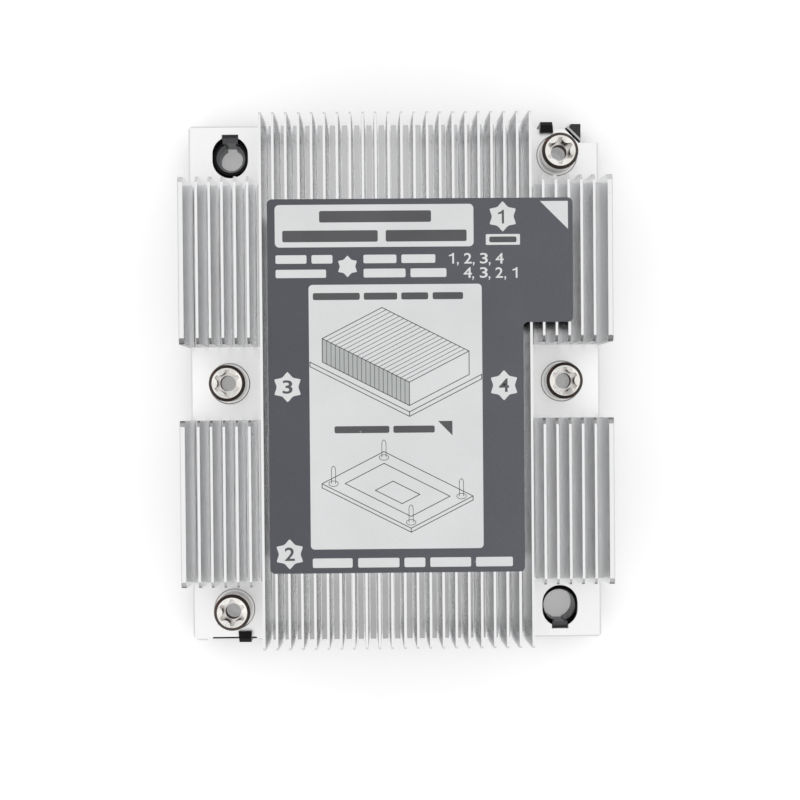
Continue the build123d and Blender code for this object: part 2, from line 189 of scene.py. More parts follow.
def groupWith(name, inputs):
    # a node group of an effect, which gives one mask
    group = bpy.data.node_groups.new(name, "ShaderNodeTree")
    for title, kind, value in inputs:
        socket = group.interface.new_socket(title, in_out="INPUT", socket_type=kind)
        if value is not None:
            socket.default_value = value
    group.interface.new_socket("Mask", in_out="OUTPUT", socket_type="NodeSocketFloat")
    entry = addNode(group, "NodeGroupInput")
    leave = addNode(group, "NodeGroupOutput")
    return group, entry.outputs, leave.inputs


def place(tree, group, values, vector):
    node = addNode(tree, "ShaderNodeGroup", node_tree=group)
    for name, value in values.items():
        feed(tree, node.inputs[name], value)
    feed(tree, node.inputs["Vector"], vector)
    return node.outputs["Mask"]


# Effects that several finishes share

def makeStreaks():
    # fine lines drawn out along one direction, as a die, a lathe or a brush leaves them
    group, entry, leave = groupWith(
        "streaks",
        [("Vector", "NodeSocketVector", None), ("Stretch", "NodeSocketVector", (1, 1, 1)),
         ("Scale", "NodeSocketFloat", 1000.0), ("Contrast", "NodeSocketFloat", 0.5)])
    squeeze = addNode(group, "ShaderNodeVectorMath", operation="MULTIPLY")
    group.links.new(entry["Vector"], squeeze.inputs[0])
    group.links.new(entry["Stretch"], squeeze.inputs[1])
    noise = addNode(group, "ShaderNodeTexNoise", {"Detail": 3.0, "Roughness": 0.6})
    group.links.new(squeeze.outputs[0], noise.inputs["Vector"])
    group.links.new(entry["Scale"], noise.inputs["Scale"])
    low = calc(group, "MULTIPLY_ADD", entry["Contrast"], -0.5, 0.5)
    high = calc(group, "MULTIPLY_ADD", entry["Contrast"], 0.5, 0.5)
    group.links.new(spread(group, noise.outputs[0], 0.3, 0.7, low, high), leave["Mask"])
    return group


def makeSpecks():
    # scattered small round marks, such as dust and nicks
    group, entry, leave = groupWith(
        "specks",
        [("Vector", "NodeSocketVector", None), ("Scale", "NodeSocketFloat", 300.0),
         ("Size", "NodeSocketFloat", 0.12), ("Share", "NodeSocketFloat", 0.2)])
    cells = addNode(group, "ShaderNodeTexVoronoi")
    group.links.new(entry["Vector"], cells.inputs["Vector"])
    group.links.new(entry["Scale"], cells.inputs["Scale"])
    edge = calc(group, "MULTIPLY", entry["Size"], 0.5)
    dot = spread(group, cells.outputs["Distance"], edge, entry["Size"], 1.0, 0.0)
    pick = addNode(group, "ShaderNodeSeparateColor")
    group.links.new(cells.outputs["Color"], pick.inputs[0])
    chosen = below(group, pick.outputs[0], entry["Share"])
    group.links.new(times(group, dot, chosen), leave["Mask"])
    return group


def makeMottle():
    # slow uneven change of tone with a finer grain in it
    group, entry, leave = groupWith(
        "mottle",
        [("Vector", "NodeSocketVector", None), ("Scale", "NodeSocketFloat", 60.0),
         ("Grain", "NodeSocketFloat", 3000.0), ("Grain Share", "NodeSocketFloat", 0.3)])
    slow = addNode(group, "ShaderNodeTexNoise", {"Detail": 4.0, "Roughness": 0.55})
    fine = addNode(group, "ShaderNodeTexNoise", {"Detail": 2.0, "Roughness": 0.5})
    for noise, scale in ((slow, "Scale"), (fine, "Grain")):
        group.links.new(entry["Vector"], noise.inputs["Vector"])
        group.links.new(entry[scale], noise.inputs["Scale"])
    group.links.new(blend(group, entry["Grain Share"], slow.outputs[0], fine.outputs[0]), leave["Mask"])
    return group


streaks = makeStreaks()
specks = makeSpecks()
mottle = makeMottle()
print("shared effects made")


def dress(name, material):
    slots = cadNodes[name].material_slots
    for slot in slots:
        slot.material = material
    if not slots:
        cadNodes[name].data.materials.append(material)


# Heatsink body

aluminium = {
    "deepSide": (0.975, 0.98, 0.985, 1),
    "deepStreak": (0.945, 0.95, 0.955, 1),
    # painted shade on the open sides and on the channel floors
    "openSideShade": (0.54, 0.545, 0.555, 1),
    "channelFloorShade": (0.50, 0.50, 0.505, 1),
    "channelFrontShade": (0.39, 0.39, 0.39, 1),
    "flat": (0.89, 0.89, 0.89, 1),
    "flatDull": (0.84, 0.84, 0.845, 1),
    # painted light on the flats of the middle pockets
    "flatMiddleLit": (0.97, 0.97, 0.97, 1),
    "finTip": (0.80, 0.80, 0.805, 1),
    # painted shade on the cut ends of the short fins
    "cutCornerShade": (0.56, 0.56, 0.565, 1),
    "cutCornerFrontShade": (0.44, 0.44, 0.445, 1),
    "cutCornerFootShade": (0.20, 0.20, 0.20, 1),
    "cutFrontShade": (0.25, 0.25, 0.255, 1),
    "cutRearShade": (0.42, 0.42, 0.425, 1),
    "cutFootShade": (0.14, 0.14, 0.14, 1),
    # painted shade on the plate's bevelled rim
    "plateRimShade": (0.66, 0.66, 0.665, 1),
    "nick": (0.5, 0.5, 0.5, 1),
    "nickShare": 0.25,
    "flatRough": 0.42,
    "deepRough": 0.10,
    "upperRough": 0.16,
    "openRough": 0.30,
    "floorRough": 0.12,
    "mottleRough": 0.1,
    "lineRough": 0.05,
    "plateTop": 9.0 * mm,
    "plateSideTo": 8.99 * mm,
    "rimFrom": 8.5 * mm,
    "channelTo": 9.35 * mm,
    "endFrom": 9.1 * mm,
    "openHeights": (10.0 * mm, 16.0 * mm),
    "upperFrom": 14.0 * mm,
    "crest": (28.4 * mm, 28.9 * mm),
    "tipFrom": 29.4 * mm,
    "finTop": 29.5 * mm,
    "pocketInner": 27.6 * mm,
    "pocketFrom": 41.9 * mm,
    "pocketMiddle": 7.7 * mm,
    "cornerFrom": (12.0 * mm, 30.0 * mm),
    "channelFrontTo": (-44.0 * mm, -36.0 * mm),
    "openFrom": 50.5 * mm,
    "openTo": 53.0 * mm,
    "outerSide": 43.1 * mm,
    "levelFacing": (0.6, 0.9),
    "slopeFacing": (0.4, 0.85, 0.05),
    "endFacing": 0.3,
    "die": {"Stretch": (1, 0.012, 1), "Scale": 4200.0, "Contrast": 0.9},
    "mottle": {"Scale": 45.0, "Grain": 2600.0, "Grain Share": 0.35},
    "nicks": {"Scale": 420.0, "Size": 0.16, "Share": 0.06},
    "cutter": {"Scale": 340.0, "Distortion": 1.5, "Detail": 1.0},
    "cutterShift": (0.09, 0.02, 0),
    "cutterDepth": 0.35,
    "relief": (0.00002, 0.35),
}


def makeAluminium():
    s = aluminium
    material, tree, shader = newMaterial("milledExtrusion", Metallic=1.0)
    where, facing = coordinates(tree)
    x, y, z = parts(tree, where)
    _, facingY, facingZ = parts(tree, facing)
    across = calc(tree, "ABSOLUTE", x)
    along = calc(tree, "ABSOLUTE", y)
    up = spread(tree, facingZ, *s["levelFacing"])
    flat = either(tree, up, spread(tree, facingZ, *(-limit for limit in s["levelFacing"])))

    # where a face lies: in a milled pocket, on a channel's floor, or out in the open
    middle = below(tree, along, s["pocketMiddle"])
    pocket = either(tree, above(tree, along, s["pocketFrom"]), middle)
    pocket = times(tree, pocket, above(tree, across, s["pocketInner"]))
    channel = times(tree, up, below(tree, z, s["channelTo"]), without(tree, pocket))
    beyond = times(tree, spread(tree, along, s["openFrom"], s["openTo"]), spread(tree, z, *s["openHeights"]))
    openShaded = either(tree, beyond, above(tree, across, s["outerSide"]), below(tree, z, s["plateSideTo"]))

    # die lines run along the fins, and cutter marks lie on the milled faces
    die = place(tree, streaks, s["die"], where)
    soft = place(tree, mottle, s["mottle"], where)
    nicks = place(tree, specks, s["nicks"], where)
    cutter = turning(tree, s["cutter"], shifted(tree, where, s["cutterShift"]))
    lines = times(tree, die, without(tree, flat))
    relief = calc(tree, "MULTIPLY_ADD", times(tree, cutter, flat), s["cutterDepth"], lines)

    sides = blendColour(tree, times(tree, die, soft), s["deepSide"], s["deepStreak"])
    # the sides out in the open, at the fin ends, on the outer sides and on the plate's sides, are painted a
    # darker grey as shade
    sides = blendColour(tree, openShaded, sides, s["openSideShade"])
    flats = blendColour(tree, soft, s["flat"], s["flatDull"])
    # the flats of the middle pockets are painted lighter, as light
    flats = blendColour(tree, times(tree, pocket, middle), flats, s["flatMiddleLit"])
    # the channel floors are painted darker as shade, darkest towards the front
    inward = spread(tree, y, *s["channelFrontTo"])
    flats = blendColour(tree, channel, flats, blendColour(tree, inward, s["channelFrontShade"], s["channelFloorShade"]))
    flats = blendColour(tree, above(tree, z, s["tipFrom"]), flats, s["finTip"])
    colour = blendColour(tree, flat, sides, flats)
    colour = blendColour(tree, times(tree, nicks, s["nickShare"]), colour, s["nick"])

    # cut ends of the short fins, painted shade: dark below their uppermost millimetre, darker where they face
    # the front, and darkest by the middle pockets
    ends = times(tree, above(tree, calc(tree, "ABSOLUTE", facingY), s["endFacing"]),
                 below(tree, along, s["openTo"]), above(tree, z, s["endFrom"]))
    rearward = above(tree, facingY, 0.0)
    crest = spread(tree, z, *s["crest"])
    cutShade = blendColour(tree, crest, s["cutFootShade"], blendColour(tree, rearward, s["cutFrontShade"], s["cutRearShade"]))
    corner = blendColour(tree, crest, s["cutCornerFootShade"], s["cutCornerFrontShade"])
    corner = blendColour(tree, rearward, corner, s["cutCornerShade"])
    cutShade = blendColour(tree, spread(tree, along, *s["cornerFrom"]), cutShade, corner)
    colour = blendColour(tree, ends, colour, cutShade)

    # bevelled rims of the plate and of the nuts' seats, painted darker as shade
    shadedRim = times(tree, band(tree, facingZ, *s["slopeFacing"]),
                below(tree, z, s["plateTop"]), above(tree, z, s["rimFrom"]))
    colour = blendColour(tree, shadedRim, colour, s["plateRimShade"])

    upper = spread(tree, z, s["upperFrom"], s["finTop"])
    sideRough = blend(tree, openShaded, blend(tree, upper, s["deepRough"], s["upperRough"]), s["openRough"])
    rough = blend(tree, flat, sideRough, blend(tree, channel, s["flatRough"], s["floorRough"]))
    rough = calc(tree, "MULTIPLY_ADD", calc(tree, "SUBTRACT", soft, 0.5), s["mottleRough"], rough)
    rough = calc(tree, "MULTIPLY_ADD", lines, s["lineRough"], rough)
    coat(tree, shader, colour, rough, bump(tree, relief, *s["relief"]))
    return material


dress("heatsink_body", makeAluminium())
print("body finished")


# Black moulding under the plate

moulding = {
    "colour": (0.004, 0.004, 0.0043, 1),
    "rubbed": (0.010, 0.010, 0.011, 1),
    "rubbedShare": 0.35,
    "dust": (0.25, 0.25, 0.25, 1),
    "dustShare": 0.1,
    "keyTop": (0.045, 0.045, 0.047, 1),
    # painted highlight along the key's bevel
    "keyEdgeHighlight": (0.80, 0.80, 0.81, 1),
    # painted sheen on the tabs and inside the guide rings
    "tabSheen": (0.09, 0.09, 0.096, 1),
    "funnelSheen": (0.28, 0.285, 0.30, 1),
    "bore": (0.22, 0.225, 0.235, 1),
    "roughness": 0.20,
    "grainRough": 0.2,
    "keyFrom": (34.3 * mm, 49.5 * mm, 7.5 * mm),
    "ringTop": 7.3 * mm,
    "cornersFrom": 42.0 * mm,
    "guidePlace": (34.5 * mm, 47.7 * mm),
    "guideRadius": 3.5 * mm,
    "levelFacing": (0.93, 0.97),
    "bevelFacing": (0.6, 0.88, 0.05),
    "bevelGrain": (0.2, 0.4),
    "funnelSheenFacing": (0.3, 0.6, 0.05),
    "boreFacing": (-0.2, 0.2, 0.05),
    "grain": {"Scale": 160.0, "Grain": 5200.0, "Grain Share": 0.6},
    "rubbing": {"Stretch": (1, 0.2, 1), "Scale": 900.0, "Contrast": 1.0},
    "specks": {"Scale": 700.0, "Size": 0.2, "Share": 0.08},
    "relief": (0.00003, 0.3),
}


def makeMoulding():
    s = moulding
    material, tree, shader = newMaterial("blackNylon", Specular_IOR_Level=0.1)
    where, facing = coordinates(tree)
    x, y, z = parts(tree, where)
    facingZ = parts(tree, facing)[2]
    grain = place(tree, mottle, s["grain"], where)
    rubbed = place(tree, streaks, s["rubbing"], where)
    dust = place(tree, specks, s["specks"], where)
    colour = blendColour(tree, times(tree, rubbed, s["rubbedShare"]), s["colour"], s["rubbed"])
    colour = blendColour(tree, times(tree, dust, s["dustShare"]), colour, s["dust"])

    # the corner key is grey on top, with a painted highlight along its bevel
    key = times(tree, *(above(tree, value, start) for value, start in zip((x, y, z), s["keyFrom"])))
    level = spread(tree, facingZ, *s["levelFacing"])
    colour = blendColour(tree, times(tree, key, level), colour, s["keyTop"])
    edge = times(tree, key, band(tree, facingZ, *s["bevelFacing"]), spread(tree, grain, *s["bevelGrain"]))
    colour = blendColour(tree, edge, colour, s["keyEdgeHighlight"])

    # the tabs and the insides of the guide rings are painted greyer, as a sheen of the light from above; the
    # rings are in two opposite corners
    along = calc(tree, "ABSOLUTE", y)
    corner = times(tree, above(tree, along, s["cornersFrom"]), below(tree, times(tree, x, y), 0.0))
    tabSheen = times(tree, corner, above(tree, z, s["ringTop"]))
    colour = blendColour(tree, tabSheen, colour, s["tabSheen"])
    sideways = calc(tree, "SUBTRACT", calc(tree, "ABSOLUTE", x), s["guidePlace"][0])
    inside = fromAxis(tree, sideways, calc(tree, "SUBTRACT", along, s["guidePlace"][1]))
    guide = times(tree, corner, below(tree, inside, s["guideRadius"]))
    for tone in ("funnelSheen", "bore"):
        face = times(tree, guide, band(tree, facingZ, *s[tone + "Facing"]))
        colour = blendColour(tree, face, colour, s[tone])
    rough = calc(tree, "MULTIPLY_ADD", grain, s["grainRough"], s["roughness"])
    coat(tree, shader, colour, rough, bump(tree, grain, *s["relief"]))
    return material


dress("processor_carrier", makeMoulding())
print("carrier finished")


# Nuts, each with turning marks round its own axis

nuts = {
    "places": {"nut_1": (34.5, 47.7), "nut_2": (-34.5, -47.7), "nut_3": (-35.1, 0.0), "nut_4": (35.1, 0.0)},
    "plate": (0.83, 0.80, 0.74, 1),
    "plateCool": (0.86, 0.86, 0.85, 1),
    "coolFrom": (0.4, 0.62),
    # painted shade on the nut's rim
    "shadedRim": (0.060, 0.050, 0.046, 1),
    "rimWarm": (0.13, 0.06, 0.035, 1),
    "warmFrom": (0.52, 0.62),
    # painted shade in the recess: a darker floor, dark walls, lighter walls out in the lobes
    "recessFloorShade": (0.66, 0.64, 0.62, 1),
    "recessWallShade": (0.12, 0.085, 0.07, 1),
    "lobeWall": (0.62, 0.58, 0.53, 1),
    # the bore painted grey like the shaded floor seen through it, its mouth with painted light and painted
    # shade
    "boreColour": (0.70, 0.71, 0.715, 1),
    "mouthShade": (0.30, 0.215, 0.17, 1),
    "mouthLit": (0.92, 0.91, 0.89, 1),
    "boreRadius": 1.75 * mm,
    "lobeFrom": (2.15 * mm, 2.5 * mm),
    "recessRadius": 2.85 * mm,
    "rimRadius": 3.12 * mm,
    "mouthFrom": (6.8 * mm, 9.2 * mm),
    "threadFoot": 9.4 * mm,
    "threadPitch": 0.7 * mm,
    "recessFoot": 13.0 * mm,
    "recessTop": 16.02 * mm,
    "margin": 0.05 * mm,
    "wallFacing": (-0.4, 0.4, 0.1),
    "rimFacing": (0.5, 0.9, 0.05),
    "floorFacing": (0.8, 0.9),
    "roughness": 0.12,
    "patchRough": 0.2,
    "dullRough": 0.35,
    "boreRough": -0.12,
    "patch": {"Scale": 420.0, "Grain": 4200.0, "Grain Share": 0.25},
    "turned": {"Scale": 1900.0, "Distortion": 0.6, "Detail": 1.0},
    "turnedDepth": 0.12,
    "threadDepth": 2.0,
    "relief": (0.00003, 0.5),
}


def makeNickel(name, centre):
    s = nuts
    material, tree, shader = newMaterial("nickel_" + name, Specular_IOR_Level=0.2)
    where, facing = coordinates(tree)
    where = shifted(tree, where, (-centre[0] * mm, -centre[1] * mm, 0))
    x, y, z = parts(tree, where)
    facingZ = parts(tree, facing)[2]
    radius = fromAxis(tree, x, y)
    upright = band(tree, facingZ, *s["wallFacing"])

    # three places differ from the bright plate: the rim and the recess, painted dark as shade, and the bore,
    # painted with shade and light
    shadedRim = times(tree, above(tree, radius, s["rimRadius"]), band(tree, facingZ, *s["rimFacing"]))
    within = times(tree, below(tree, radius, s["recessRadius"]),
                   above(tree, z, s["recessFoot"] - s["margin"]), below(tree, z, s["recessTop"]))
    wall = times(tree, within, upright)
    bottom = times(tree, within, below(tree, z, s["recessFoot"] + s["margin"]),
                   spread(tree, facingZ, *s["floorFacing"]))
    bore = times(tree, below(tree, radius, s["boreRadius"]), below(tree, z, s["recessFoot"]), upright)

    thread = calc(tree, "SINE", calc(tree, "MULTIPLY", z, 2 * math.pi / s["threadPitch"]))
    threaded = times(tree, bore, above(tree, z, s["threadFoot"]))
    relief = calc(tree, "MULTIPLY_ADD", turning(tree, s["turned"], where), s["turnedDepth"],
                  times(tree, thread, threaded, s["threadDepth"]))

    patch = place(tree, mottle, s["patch"], where)
    colour = blendColour(tree, spread(tree, patch, *s["coolFrom"]), s["plate"], s["plateCool"])
    rimTone = blendColour(tree, spread(tree, patch, *s["warmFrom"]), s["shadedRim"], s["rimWarm"])
    colour = blendColour(tree, shadedRim, colour, rimTone)
    # the recess walls are painted dark as shade near the middle and lighter out in the lobes, and the recess
    # floor a little darker as shade
    lobe = spread(tree, radius, *s["lobeFrom"])
    colour = blendColour(tree, wall, colour, blendColour(tree, lobe, s["recessWallShade"], s["lobeWall"]))
    colour = blendColour(tree, bottom, colour, s["recessFloorShade"])

    # the mouth of the bore has a painted lit turn and a painted shaded one above it, and below them the bore
    # is painted grey like the shaded floor seen through it
    litFrom, shadeFrom = s["mouthFrom"]
    shadedTurn = above(tree, z, shadeFrom)
    mouth = blendColour(tree, above(tree, z, litFrom), s["boreColour"], s["mouthLit"])
    mouth = blendColour(tree, shadedTurn, mouth, s["mouthShade"])
    colour = blendColour(tree, bore, colour, mouth)

    # the places painted dark as shade are not metallic and less smooth
    dull = either(tree, shadedRim, times(tree, wall, without(tree, lobe)), times(tree, bore, shadedTurn))
    tree.links.new(without(tree, dull), shader.inputs["Metallic"])
    rough = calc(tree, "MULTIPLY_ADD", patch, s["patchRough"], s["roughness"])
    rough = calc(tree, "MULTIPLY_ADD", dull, s["dullRough"], rough)
    rough = calc(tree, "MULTIPLY_ADD", bore, s["boreRough"], rough, clamp=True)
    coat(tree, shader, colour, rough, bump(tree, relief, *s["relief"]))
    return material


for nutName, nutCentre in nuts["places"].items():
    dress(nutName, makeNickel(nutName, nutCentre))
print("nuts finished")


# Retaining rings

ringSteel = {
    "colour": (0.30, 0.30, 0.31, 1),
    "oiled": (0.12, 0.11, 0.10, 1),
    "oiledFrom": (0.4, 0.65),
    "roughness": 0.25,
    "grainRough": 0.15,
    "grain": {"Stretch": (1, 0.3, 1), "Scale": 3000.0, "Contrast": 0.8},
    "oil": {"Scale": 500.0, "Grain": 5000.0, "Grain Share": 0.2},
    "relief": (0.00001, 0.4),
}


def makeRingSteel():
    s = ringSteel
    material, tree, shader = newMaterial("oiledSpringSteel", Metallic=1.0)
    where = coordinates(tree)[0]
    grain = place(tree, streaks, s["grain"], where)
    oil = place(tree, mottle, s["oil"], where)
    colour = blendColour(tree, spread(tree, oil, *s["oiledFrom"]), s["colour"], s["oiled"])
    rough = calc(tree, "MULTIPLY_ADD", grain, s["grainRough"], s["roughness"])
    coat(tree, shader, colour, rough, bump(tree, grain, *s["relief"]))
    return material


ringFinish = makeRingSteel()
for nutName in nuts["places"]:
    dress(nutName.replace("nut", "retaining_ring"), ringFinish)
print("rings finished")


# Thermal pad

pad = {
    "colour": (0.40, 0.405, 0.41, 1),
    "pale": (0.52, 0.52, 0.525, 1),
    "roughness": 0.4,
    "bodyRough": 0.25,
    "body": {"Scale": 130.0, "Grain": 2400.0, "Grain Share": 0.45},
    "drawn": {"Stretch": (0.06, 1, 1), "Scale": 1300.0, "Contrast": 1.0},
    "drawnDepth": 0.6,
    "relief": (0.00006, 0.5),
}


def makePadPaste():
    s = pad
    material, tree, shader = newMaterial("thermalPaste", Specular_IOR_Level=0.4)
    where = coordinates(tree)[0]
    body = place(tree, mottle, s["body"], where)
    drawn = place(tree, streaks, s["drawn"], where)
    colour = blendColour(tree, body, s["colour"], s["pale"])
    rough = calc(tree, "MULTIPLY_ADD", body, s["bodyRough"], s["roughness"])
    relief = calc(tree, "MULTIPLY_ADD", drawn, s["drawnDepth"], body)
    coat(tree, shader, colour, rough, bump(tree, relief, *s["relief"]))
    return material


dress("thermal_pad", makePadPaste())
print("pad finished")


# Label film and its print; a finish has its tones at the left and right, its share of grain and its contrast

label = {
    "outline": [(-25.75, -38.5), (25.45, -38.5), (25.45, 11.6), (35.5, 11.6), (35.5, 36.5), (-25.75, 36.5)],
    "cornerRadius": 1.0,
    "film": (29.5, 29.628),
    "pale": (29.628, 29.638),
    "tone": (29.638, 29.644),
    "ink": (29.644, 29.65),
    "finishes": {
        "darkFilm": ((0.075, 0.0765, 0.092, 1), (0.0945, 0.0965, 0.111, 1), 0.6, 0.1),
        "paleInk": ((0.73, 0.735, 0.74, 1), (0.73, 0.735, 0.74, 1), 0.35, 0.035),
        "greyInk": ((0.46, 0.48, 0.475, 1), (0.46, 0.48, 0.475, 1), 0.3, 0.06),
        "darkInk": ((0.085, 0.085, 0.09, 1), (0.085, 0.085, 0.09, 1), 0.3, 0.1),
    },
    "leftToRight": (-25.0 * mm, 35.0 * mm),
    "mottle": {"Scale": 90.0, "Grain": 3200.0},
    "mottleRange": (0.3, 0.7),
    "lint": (0.6, 0.62, 0.64, 1),
    "lintShare": 0.3,
    "lintSpecks": {"Scale": 260.0, "Size": 0.07, "Share": 0.12},
    "roughness": 0.42,
    "mottleRough": 0.2,
    "relief": (0.00003, 0.25),
}


def makeFilm(name):
    s = label
    left, right, grainShare, contrast = s["finishes"][name]
    material, tree, shader = newMaterial(name, Specular_IOR_Level=0.4)
    where = coordinates(tree)[0]
    tone = place(tree, mottle, {**s["mottle"], "Grain Share": grainShare}, where)
    lint = place(tree, specks, s["lintSpecks"], where)
    across = spread(tree, parts(tree, where)[0], *s["leftToRight"])
    scaled = addNode(tree, "ShaderNodeVectorMath", operation="SCALE")
    tree.links.new(blendColour(tree, across, left, right), scaled.inputs[0])
    lift = spread(tree, tone, *s["mottleRange"], 1 - contrast, 1 + contrast)
    tree.links.new(lift, scaled.inputs["Scale"])
    colour = blendColour(tree, times(tree, lint, s["lintShare"]), scaled.outputs[0], s["lint"])
    rough = calc(tree, "MULTIPLY_ADD", tone, s["mottleRough"], s["roughness"])
    coat(tree, shader, colour, rough, bump(tree, tone, *s["relief"]))
    return material


def slab(bm, outline, levels, radius=0.0):
    # flat plate on an outline in millimetres, with rounded upright corners
    low, high = levels
    points = [bm.verts.new((x * mm, y * mm, low * mm)) for x, y in outline]
    face = bm.faces.new(points)
    bmesh.ops.recalc_face_normals(bm, faces=[face])
    grown = bmesh.ops.extrude_face_region(bm, geom=[face])
    raised = [item for item in grown["geom"] if isinstance(item, bmesh.types.BMVert)]
    bmesh.ops.translate(bm, verts=raised, vec=(0, 0, (high - low) * mm))
    if radius > 0:
        corners = [edge for edge in bm.edges
                   if abs(edge.verts[0].co.z - edge.verts[1].co.z) > 0.5 * (high - low) * mm
                   and (edge.verts[0] in points or edge.verts[1] in points)]
        bmesh.ops.bevel(bm, geom=corners, offset=radius * mm, offset_type="OFFSET", segments=6,
                        profile=0.5, affect="EDGES", material=-1)


def box(bm, left, right, low, high, levels, radius=0.0):
    slab(bm, [(left, low), (right, low), (right, high), (left, high)], levels, radius)


def stroke(bm, start, end, width, levels):
    # one straight printed line
    first, last = Vector((*start, 0)), Vector((*end, 0))
    run = last - first
    middle = (first + last) / 2 * mm + Vector((0, 0, sum(levels) / 2 * mm))
    turn = Matrix.Rotation(math.atan2(run.y, run.x), 4, "Z")
    size = Matrix.Diagonal(((run.length + width * 0.6) * mm, width * mm, (levels[1] - levels[0]) * mm, 1))
    bmesh.ops.create_cube(bm, size=1.0, matrix=Matrix.Translation(middle) @ turn @ size)


def pathStroke(bm, points, width, levels, closed=False):
    ends = points[1:] + points[:1] if closed else points[1:]
    for start, end in zip(points, ends):
        stroke(bm, start, end, width, levels)


def star(bm, centre, tip, levels):
    # six sharp points with hollow sides
    outline = []
    for step in range(360 // whitePrint["starDegrees"]):
        angle = math.radians(whitePrint["starDegrees"] * step)
        reach = tip * (1 - whitePrint["starHollow"] * abs(math.cos(3 * angle)))
        outline.append((centre[0] + reach * math.cos(angle), centre[1] + reach * math.sin(angle)))
    slab(bm, outline, levels)


def ellipse(bm, centre, wide, tall, width, levels, share=1.0):
    count = round(darkPrint["roundSteps"] * share)
    turns = [2 * math.pi * share * step / count for step in range(count + 1)]
    rounded = [(centre[0] + wide * math.cos(turn), centre[1] + tall * math.sin(turn)) for turn in turns]
    pathStroke(bm, rounded, width, levels)


def figure(bm, sign, left, right, low, high, levels, weight):
    # flat figure from the built-in font, made a mesh and then fitted into its place; the one has a flag
    if sign == "1":
        shape = [(0.64, 0), (1, 0), (1, 1), (0.76, 1), (0.5, 0.88), (0, 0.8), (0, 0.68), (0.64, 0.74)]
        slab(bm, [(left + (right - left) * x, low + (high - low) * y) for x, y in shape], levels)
        return
    curve = bpy.data.curves.new("figure", "FONT")
    curve.body = sign
    curve.size = 1.0
    curve.offset = weight
    curve.extrude = 0.5
    curve.resolution_u = 4
    holder = bpy.data.objects.new("figure", curve)
    bpy.context.scene.collection.objects.link(holder)
    bpy.context.view_layer.update()
    flat = bpy.data.meshes.new_from_object(holder)
    columns = [vert.co.x for vert in flat.vertices]
    rows = [vert.co.y for vert in flat.vertices]
    wide = (right - left) / (max(columns) - min(columns))
    tall = (high - low) / (max(rows) - min(rows))
    size = Matrix.Diagonal((wide * mm, tall * mm, (levels[1] - levels[0]) * mm, 1))
    shift = ((left - min(columns) * wide) * mm, (low - min(rows) * tall) * mm, sum(levels) / 2 * mm)
    flat.transform(Matrix.Translation(shift) @ size)
    bm.from_mesh(flat)
    bpy.data.objects.remove(holder)
    bpy.data.curves.remove(curve)
    bpy.data.meshes.remove(flat)


def comma(bm, left, low, levels):
    shape = [(0, 0), (0, 0.3), (0.34, 0.3), (0.34, -0.08), (0.12, -0.42), (0, -0.42), (0.14, 0)]
    slab(bm, [(left + x, low + y) for x, y in shape], levels)


def finishPiece(bm, name, finish):
    bmesh.ops.remove_doubles(bm, verts=bm.verts, dist=1e-7)
    bmesh.ops.recalc_face_normals(bm, faces=bm.faces)
    mesh = bpy.data.meshes.new(name)
    bm.to_mesh(mesh)
    bm.free()
    mesh.materials.append(makeFilm(finish))
    piece = bpy.data.objects.new(name, mesh)
    bpy.context.scene.collection.objects.link(piece)
    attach(piece, "root")
    return piece


filmMesh = bmesh.new()
slab(filmMesh, label["outline"], label["film"], label["cornerRadius"])
film = finishPiece(filmMesh, "label_film", "darkFilm")
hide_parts("instruction_label")
print("label film made")


# White print; a bar or panel is left, right, low, high, and a panel has its corner radius as well

starPlaces = {"1": (21.47, 32.78), "2": (-21.8, -34.6), "3": (-21.93, -1.06), "4": (21.49, -1.04)}
whitePrint = {
    "panels": [(-17.55, 17.15, -33.7, 19.35, 0.8), (-24.2, 15.6, 26.85, 35.35, 0.9),
               (18.05, 24.9, 27.1, 29.25, 0.2)],
    "corner": [(28.95, 35.8), (34.55, 30.2), (34.55, 35.8)],
    "bars": [(-24.1, -17.9, 23.6, 25.3), (-16.9, -12.7, 23.6, 25.3), (-24.1, -14.0, 20.75, 22.4),
             (-6.5, 0.1, 23.6, 25.3), (1.1, 7.9, 23.6, 25.3), (-6.5, 1.9, 20.75, 22.5),
             (2.9, 10.1, 20.75, 22.5),
             (-17.2, -9.2, -37.4, -35.5), (-8.1, 0.2, -37.4, -35.5), (1.2, 5.4, -37.4, -35.5),
             (6.4, 14.6, -37.4, -35.5), (15.6, 23.0, -37.4, -35.5)],
    "barRadius": 0.3,
    "starDegrees": 3,
    "starHollow": 0.27,
    "starTip": 3.02,
    "smallStar": (-9.7, 23.0),
    "smallTip": 2.15,
    "figures": [("1", 10.63, 11.65, 23.42), ("2", 13.64, 15.2, 23.4), ("3", 16.84, 18.43, 23.38),
                ("4", 19.97, 21.59, 23.35), ("4", 13.53, 15.2, 20.54), ("3", 16.8, 18.38, 20.52),
                ("2", 19.93, 21.45, 20.49), ("1", 23.34, 24.36, 20.47)],
    "figureTall": 2.12,
    "figureWeight": 0.012,
    "commas": [(12.23, 23.41), (15.4, 23.39), (18.61, 23.36), (15.28, 20.53), (18.55, 20.5), (21.72, 20.48)],
}


def makeWhitePrint():
    s, levels = whitePrint, label["pale"]
    bm = bmesh.new()
    for *sides, radius in s["panels"]:
        box(bm, *sides, levels, radius)
    slab(bm, s["corner"], levels)
    for centre in starPlaces.values():
        star(bm, centre, s["starTip"], levels)
    star(bm, s["smallStar"], s["smallTip"], levels)
    for sides in s["bars"]:
        box(bm, *sides, levels, s["barRadius"])
    for sign, left, right, low in s["figures"]:
        figure(bm, sign, left, right, low, low + s["figureTall"], levels, s["figureWeight"])
    for left, low in s["commas"]:
        comma(bm, left, low, levels)
    finishPiece(bm, "label_pale_print", "paleInk")


makeWhitePrint()
print("white print made")


# Dark print, with an own plain schematic: a finned block above, a frame with four posts below

